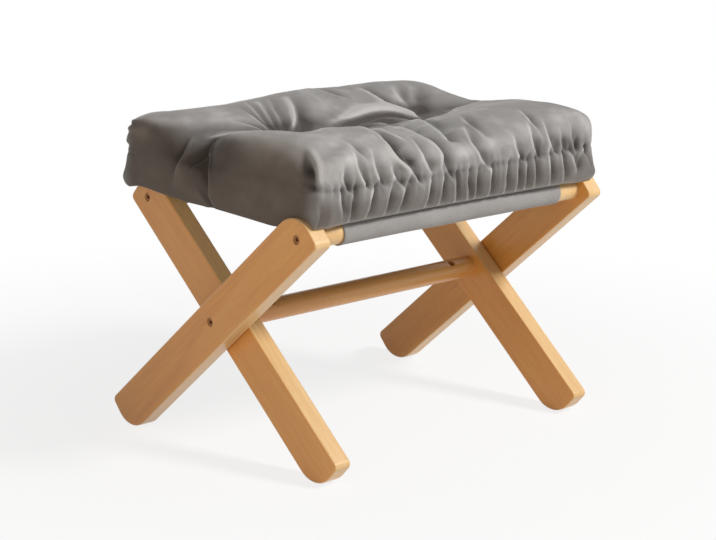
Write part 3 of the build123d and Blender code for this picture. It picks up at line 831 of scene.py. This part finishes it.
TOP_FOLDS = (
    (((0.5, 3, 1.5), 2.4, 7.0), ((-136, -122, 322), (-138, -135, 316), (-134, -141, 310))),
    (((3, 10, 5), 2.8, 14.0), ((-82, -84, 324), (-88, -110, 322), (-95, -139, 312), (-76, -146, 296))),
    (((-1, -3, -1), 5.0, 5.0), ((-47, -57, 318), (-66, -97, 319), (-68, -117, 316))),
    (((1, 6, 4.5), 2.8, 10.0), ((-29, -2, 312), (-7, 2, 314), (12, -4, 315), (17, -21, 316), (-4, -71, 316),
                                (-26, -113, 315), (-28, -143, 301))),
    (((1, 6, 4), 2.8, 9.0), ((-16, 1, 313), (17, 8, 314), (43, 2, 316), (57, -10, 314), (48, -41, 316),
                             (17, -92, 316), (-3, -124, 312))),
    (((-0.2, -3.2, -2.6), 6.0, 9.0), ((-44, 12, 312), (9, 24, 314), (41, 30, 317), (70, 27, 317),
                                      (90, 18, 311))),
    (((0.5, 3, 2), 2.4, 6.0), ((-31, 6, 310), (-15, 8, 310), (39, 18, 313), (72, 14, 312), (90, 10, 309))),
    (((2, 6, 4), 2.8, 9.0), ((68, 72, 332), (71, 54, 326), (75, 37, 319), (86, 27, 316), (97, 19, 310))),
    (((2, 4, 1), 2.6, 8.0), ((9, 88, 334), (18, 70, 333), (27, 57, 330))),
    (((0.5, 3, 3), 6.0, 10.0), ((140, 59, 329), (122, 40, 322), (105, 20, 313))),
    (((0.5, 3, 3), 5.0, 9.0), ((117, 65, 331), (105, 46, 324), (100, 28, 316))),
    (((0.5, 3.2, 1.2), 2.2, 6.0), ((68, -72, 324), (53, -96, 322), (46, -113, 319), (41, -130, 313))),
    (((0.5, 3.4, 1.2), 2.2, 6.0), ((124, -104, 328), (115, -125, 320), (112, -139, 312), (114, -143, 306))),
    (((0.5, 3, 2), 1.9, 5.0), ((-105, 71, 329), (-104, 43, 320), (-102, 16, 310))),
    (((0.5, 3, 2), 1.9, 5.0), ((-88, 80, 330), (-97, 45, 321), (-99, 18, 310))),
    (((0.5, 3, 2), 1.9, 5.0), ((-131, 44, 323), (-121, 34, 318), (-109, 18, 312))),
    (((1.5, 6, 4), 4.5, 10.0), ((-38, 66, 333), (-47, 47, 325), (-66, 22, 313), (-86, 10, 309))),
    (((0.5, 3, 2.5), 3.0, 6.0), ((-61, 76, 334), (-72, 53, 328), (-80, 33, 318), (-94, 13, 310))),
    (((0.5, 3, 2.5), 3.0, 6.0), ((-74, 74, 333), (-85, 49, 325), (-92, 28, 314), (-99, 14, 310))))
LIP = 0.34                   # a fold's raised lip, as a share of its depth
LIP_PLACE, LIP_WIDTH = 1.8, 1.0   # in widths of the first wall
WIDE_WALL = 10.0             # a fold with such a wall is a hollow without a lip
FOLD_FADE = 5.0              # past a fold's ends
FOLD_REACH = 3.2             # to each side, in widths of its wider wall
FOLD_LIFT = 14.0             # off the cover, over which a fold fades
DEEPEST, HIGHEST = -11.0, 4.5
CREASE_DEPTH, CREASE_WIDTH = 0.8, 1.9   # of the seam
CREASE_Y = (112.0, 138.0)
UNEVEN, UNEVEN_RUN = 0.7, 24.0
FINE_SHARE, FINE_RUN = 0.4, 9.0
UNEVEN_HEIGHT = (2.0, 12.0)

# Short puckers along both sides of the seam: the range of each of their sizes
GATHER_SEED = 23
GATHER_END, GATHER_Y, GATHER_STEP = 188.0, 145.0, (6.5, 12.5)
GATHER_LEAN, GATHER_UP, GATHER_DOWN = (2, 7), (9, 19), (8, 20)
GATHER_DEPTH, GATHER_TIP, GATHER_WALLS = (0.3, 1.1), 0.2, (1.8, 4.0)
GATHER_SWELL = 2.0           # the band stands out below the seam

# Painted light and shade on the velvet, from -1 to 1
# depth in mm of a fold painted in full shade, and height of a lip painted in full highlight
FOLD_SHADE, LIP_SHADE = 4.6, 1.6
END_LIP_LOSS = 0.5           # the painted highlights on the ends' lips are weaker
# painted light on what faces up
TOP_LIGHT_SHARE = 0.12
LEFTWARD_PALE_SHARE = 0.12          # paler towards the left end
FRONT_LIGHT_SHARE, FRONT_LIGHT_Y = 0.22, (20.0, 70.0)   # painted light: the front roll's forward-leaning slope is paler
# painted shade in the low parts of the top behind the front roll, lifted on the lips of folds
HOLLOW_HEIGHT, HOLLOW_SPAN, HOLLOW_SHADE_SHARE = 71.0, 10.0, 0.75
HOLLOW_Y, HOLLOW_LIP = (-45.0, -10.0), (0.3, 1.5)
# painted shade on the band below the seam, partly in the browner colour
BAND_SPAN, BAND_SHADE_SHARE, BAND_BROWN_SHADE = 20.0, 0.25, 0.5
# painted shade on the top towards the ends
END_START, END_SPAN, END_SHADE_SHARE = 160.0, 38.0, 0.2
END_EDGE_LIGHT, EDGE_LIGHT_HEIGHT = 0.65, (36.0, 70.0)   # painted light towards the upper edge of the ends
CORNER_FADE = 24.0           # the ends' shade fades towards their upright edges
TUCK_REACH, TUCK_BROWN_SHADE = 26.0, 0.9   # a corner tucked in below the seam gets the browner painted shade too
# cap on the painted light
PALEST_PAINTED_LIGHT = 0.75
ABOVE_SEAM = 12.0
# Which way the cover faces, as shares of its normal
FACING_UP, FACING_SIDE, FACING_END, FACING_FULL_END = (-0.1, 0.7), (0.5, 0.9), (0.2, 0.7), (0.25, 0.95)


def at_other_end(folds, across):
    """The same folds at the other end of the cushion, and at its other side too where across is -1."""
    return [(shape, [(-x, across * y, z) for x, y, z in line]) for shape, line in folds]


def small_gathers():
    """Short puckers along both sides of the seam, between the large ones."""
    rng = np.random.default_rng(GATHER_SEED)
    gathers = []
    for side in (-1, 1):
        x = -GATHER_END
        while x < GATHER_END:
            seam = BASE_Z + seam_height(x)
            lean = side * rng.uniform(*GATHER_LEAN)
            up, down = rng.uniform(*GATHER_UP), rng.uniform(*GATHER_DOWN)
            depth = rng.uniform(*GATHER_DEPTH)
            y = side * GATHER_Y
            swell_y = y + side * GATHER_SWELL
            above = ((x + lean, y, seam + up), (x + lean / 3, y, seam + up / 2), (x, y, seam))
            below = ((x, y, seam), (x + lean / 3, swell_y, seam - down / 2),
                     (x + lean / 2, swell_y, seam - down))
            gathers.append((((GATHER_TIP, depth, depth), *GATHER_WALLS), above))
            gathers.append((((depth, depth, GATHER_TIP), *GATHER_WALLS), below))
            x += rng.uniform(*GATHER_STEP)
    return gathers


def press_fold(push, points, normals, shape, line):
    """Adds one fold to how far each point is pushed out along its normal."""
    depths, left_width, right_width = shape
    path = smooth_curve(line, FOLD_STEPS)
    reach = FOLD_REACH * max(left_width, right_width)
    near = np.all((points > path.min(0) - reach) & (points < path.max(0) + reach), axis=1)
    index = np.flatnonzero(near)
    if not len(index):
        return
    p, n = points[index], normals[index]
    starts, steps = path[:-1], np.diff(path, axis=0)
    lengths = np.linalg.norm(steps, axis=1)
    ways = steps / lengths[:, None]
    runs = np.concatenate([[0], np.cumsum(lengths)])
    offset = p[:, None, :] - starts[None]
    along = np.clip((offset * ways[None]).sum(2), 0, lengths[None])
    gap = np.linalg.norm(offset - along[..., None] * ways[None], axis=2)
    best = gap.argmin(1)
    rows = np.arange(len(index))
    way = ways[best]
    foot = starts[best] + along[rows, best][:, None] * way
    away = p - foot
    past_end = (away * way).sum(1)
    across = np.cross(n, way)
    across /= np.maximum(np.linalg.norm(across, axis=1, keepdims=True), 1e-6)
    side = (away * across).sum(1)
    share = (runs[best] + along[rows, best]) / runs[-1]
    depth = np.interp(share, (0, 0.5, 1), depths) * np.exp(-(past_end / FOLD_FADE) ** 2)
    lift = (away * n).sum(1)
    depth = depth * np.exp(-(lift / FOLD_LIFT) ** 2)
    wall = np.where(side < 0, np.exp(-(side / left_width) ** 2), np.exp(-(side / right_width) ** 2))
    lip = np.exp(-((side + LIP_PLACE * left_width) / (LIP_WIDTH * left_width)) ** 2)
    lip_share = LIP if left_width < WIDE_WALL else 0.0
    push[index] += depth * (lip_share * lip - wall)


def fold_cover(points, normals):
    """How far each point is pushed out by the folds, the seam's crease and the cover's fine unevenness."""
    push = np.zeros(len(points))
    unseen = at_other_end((*SEAM_FOLDS, *END_FOLDS), -1) + at_other_end(CORNER_FOLDS, 1)
    for shape, line in (*SEAM_FOLDS, *END_FOLDS, *CORNER_FOLDS, *TOP_FOLDS, *unseen, *small_gathers()):
        press_fold(push, points, normals, shape, line)
    x, y, z = points.T
    from_seam = z - BASE_Z - seam_height(x)
    push -= CREASE_DEPTH * np.exp(-(from_seam / CREASE_WIDTH) ** 2) * smooth_step(np.abs(y), *CREASE_Y)
    uneven = np.array([noise.noise(Vector(p) / UNEVEN_RUN) + FINE_SHARE * noise.noise(Vector(p) / FINE_RUN)
                       for p in points])
    push += UNEVEN * uneven * smooth_step(z - BASE_Z, *UNEVEN_HEIGHT)
    return np.clip(push, DEEPEST, HIGHEST)


def velvet_light_and_shade(points, normals, push):
    """Painted light and shade on the cover: shade in folds, in the hollow and under the seam, highlights on
    lips, tops and what leans forward. Also a browner painted shade at the ends, under the seam and in tucked
    corners."""
    x, y, z = points.T
    height = z - BASE_Z
    endwise, sidewise, upwards = np.abs(normals[:, 0]), np.abs(normals[:, 1]), normals[:, 2]
    on_top, on_end = smooth_step(upwards, *FACING_UP), smooth_step(endwise, *FACING_END)
    above_seam = smooth_step(height - seam_height(x), 0.0, ABOVE_SEAM)
    # Painted highlight on the lips of folds, weaker on the ends, and painted shade in the folds
    pile = np.where(push > 0, push / LIP_SHADE * (1 - END_LIP_LOSS * on_end), push / FOLD_SHADE)
    # Painted light on what faces up; paler towards the left end
    pile += TOP_LIGHT_SHARE * on_top - LEFTWARD_PALE_SHARE * above_seam * x / HALF_LENGTH
    # Painted light on the forward-leaning slope of the front roll
    pile -= FRONT_LIGHT_SHARE * above_seam * normals[:, 1] * smooth_step(-y, *FRONT_LIGHT_Y)
    # Painted shade in the hollow behind the front roll, except where a fold's lip stands
    hollow = on_top * smooth_step(HOLLOW_HEIGHT - height, 0, HOLLOW_SPAN) * smooth_step(y, *HOLLOW_Y)
    pile -= HOLLOW_SHADE_SHARE * hollow * (1 - smooth_step(push, *HOLLOW_LIP))
    # Painted shade on the band below the seam
    under_seam = smooth_step(sidewise, *FACING_SIDE) * smooth_step(seam_height(x) - height, 0, BAND_SPAN)
    pile -= BAND_SHADE_SHARE * under_seam
    # Painted shade on the top near the ends, and painted light towards the upper edge of the ends
    pile -= END_SHADE_SHARE * on_top * smooth_step(np.abs(x), END_START, END_START + END_SPAN)
    pile += END_EDGE_LIGHT * on_end * smooth_step(height, *EDGE_LIGHT_HEIGHT)
    # A browner painted shade on the ends, fading at their upright edges, below the seam and in tucked corners
    from_corner = smooth_step(HALF_DEPTH - np.abs(y), 0.0, CORNER_FADE)
    tucked = smooth_step(np.abs(x), HALF_LENGTH - TUCK_REACH, HALF_LENGTH - TUCK_REACH / 2) * (x * y > 0)
    painted_shade = np.maximum(smooth_step(endwise, *FACING_FULL_END) * from_corner, BAND_BROWN_SHADE * under_seam)
    painted_shade = np.maximum(painted_shade, TUCK_BROWN_SHADE * tucked * under_seam)
    return np.clip(pile, -1, PALEST_PAINTED_LIGHT), painted_shade


lattice, lattice_faces = cushion_lattice()
cushion = mesh_piece("tufted_cushion", tuft_and_hang(lattice), lattice_faces)
fill_out(cushion)
soften_ends(cushion.data)
finer = cushion.modifiers.new("finer", "SUBSURF")
finer.levels = finer.render_levels = FINER_LEVELS
settle(cushion, finer)
dense = cushion.data
form = points_of(dense)
form[:, 2] += BASE_Z
set_points(dense, form)
normals = normals_of(dense)
push = fold_cover(form, normals)
# The cushion's painted light and shade, kept as two attributes that the velvet reads
pile, painted_shade = velvet_light_and_shade(form, normals, push)
set_points(dense, rest_on_frame(form + normals * push[:, None]))
dense.attributes.new(LIGHT_SHADE_ATTRIBUTE, "FLOAT", "POINT").data.foreach_set("value", pile)
dense.attributes.new(BROWN_SHADE_ATTRIBUTE, "FLOAT", "POINT").data.foreach_set("value", painted_shade)
dense.materials.clear()
dense.materials.append(velvet)
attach(cushion, "cushion")
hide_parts("cushion_cover", "cushion_filling")

# Stage, light and camera. The lights and the shadow's reach are in metres.

FLOOR_SIZE = 60000.0
SHADOW_REACH = (0.25, 0.95)   # from the stool, over which the floor turns pure white
SHADOW_SOFTNESS = 0.81
LIGHT_AIM = Vector((0, 0, 0.2))
STUDIO_LIGHT = 0.17          # of the white room, as it falls on the stool


def seen_by_eye(tree):
    """1 for what is seen directly, mirrored or through glass, 0 for the light that falls on the stool."""
    ray = add(tree, "LightPath")
    bounced = add(tree, "Math", {0: ray.outputs["Is Glossy Ray"], 1: ray.outputs["Is Transmission Ray"]},
                  operation="MAXIMUM")
    seen = add(tree, "Math", {0: ray.outputs["Is Camera Ray"], 1: bounced}, operation="MAXIMUM")
    return seen.outputs["Value"]


def stage_floor():
    """White studio floor, matte: it keeps the stool's soft shadow and turns pure white further out."""
    h = FLOOR_SIZE / 2
    floor = mesh_piece("floor", [(-h, -h, 0), (h, -h, 0), (h, h, 0), (-h, h, 0)], [(0, 1, 2, 3)])
    material, tree, place = new_material("white_studio_floor")
    away = add(tree, "VectorMath", {0: place["Object"]}, operation="LENGTH")
    white_share = add(tree, "MapRange", {"Value": away.outputs["Value"]},
                      {"From Min": SHADOW_REACH[0], "From Max": SHADOW_REACH[1], "To Min": SHADOW_SOFTNESS},
                      interpolation_type="SMOOTHSTEP")
    share = add(tree, "Math", {0: white_share, 1: seen_by_eye(tree)}, operation="MULTIPLY")
    matte = add(tree, "BsdfDiffuse", values={"Color": linear("#f4f3f1")})
    glow = add(tree, "Emission", values={"Color": (1, 1, 1, 1), "Strength": 1.0})
    mixed = add(tree, "MixShader", {0: share, 1: matte, 2: glow})
    add(tree, "OutputMaterial", {"Surface": mixed})
    floor.data.materials.append(material)


def area_light(name, place, size, power, colour):
    data = bpy.data.lights.new(name, "AREA")
    data.shape = "DISK"
    data.size = size
    data.energy = power
    data.color = linear(colour)[:3]
    lamp = bpy.data.objects.new(name, data)
    lamp.location = place
    lamp.visible_camera = False
    aim = LIGHT_AIM - Vector(place)
    lamp.rotation_euler = aim.to_track_quat("-Z", "Y").to_euler()
    bpy.context.collection.objects.link(lamp)


stage_floor()
area_light("key", (1.1, -2.0, 2.15), 0.8, 72.0, "#ffffff")
area_light("fill", (-1.05, -0.42, 0.46), 0.8, 2.15, "#fff2e2")

world = bpy.data.worlds.new("studio")
bpy.context.scene.world = world
world.use_nodes = True
sky = world.node_tree
sky.nodes.clear()
strength = add(sky, "MapRange", {"Value": seen_by_eye(sky)}, {"To Min": STUDIO_LIGHT, "To Max": 1.0})
white = add(sky, "Background", {"Strength": strength}, {"Color": (1, 1, 1, 1)})
add(sky, "OutputWorld", {"Surface": white})

a, e, r = (math.radians(v) for v in (AZIMUTH, ELEVATION, ROLL))
back = np.array([math.sin(a) * math.cos(e), -math.cos(a) * math.cos(e), math.sin(e)])
right = np.array([math.cos(a), math.sin(a), 0.0])
up = np.cross(back, right)
roll = np.array([[math.cos(r), -math.sin(r), 0], [math.sin(r), math.cos(r), 0], [0, 0, 1]])
turn = roll @ np.stack([right, up, back])
stand = -turn.T @ np.array([AIM_SHIFT[0], AIM_SHIFT[1], -DISTANCE]) + np.array([0, 0, AIM_HEIGHT])
camera_data = bpy.data.cameras.new("camera")
camera_data.lens = LENS
camera_data.sensor_width = SENSOR_WIDTH
camera_data.sensor_fit = "HORIZONTAL"
camera = bpy.data.objects.new("camera", camera_data)
camera.matrix_world = Matrix.Translation(Vector(stand * MM)) @ Matrix(turn.T.tolist()).to_4x4()
bpy.context.collection.objects.link(camera)
bpy.context.scene.camera = camera
bpy.context.scene.view_settings.view_transform = "Standard"
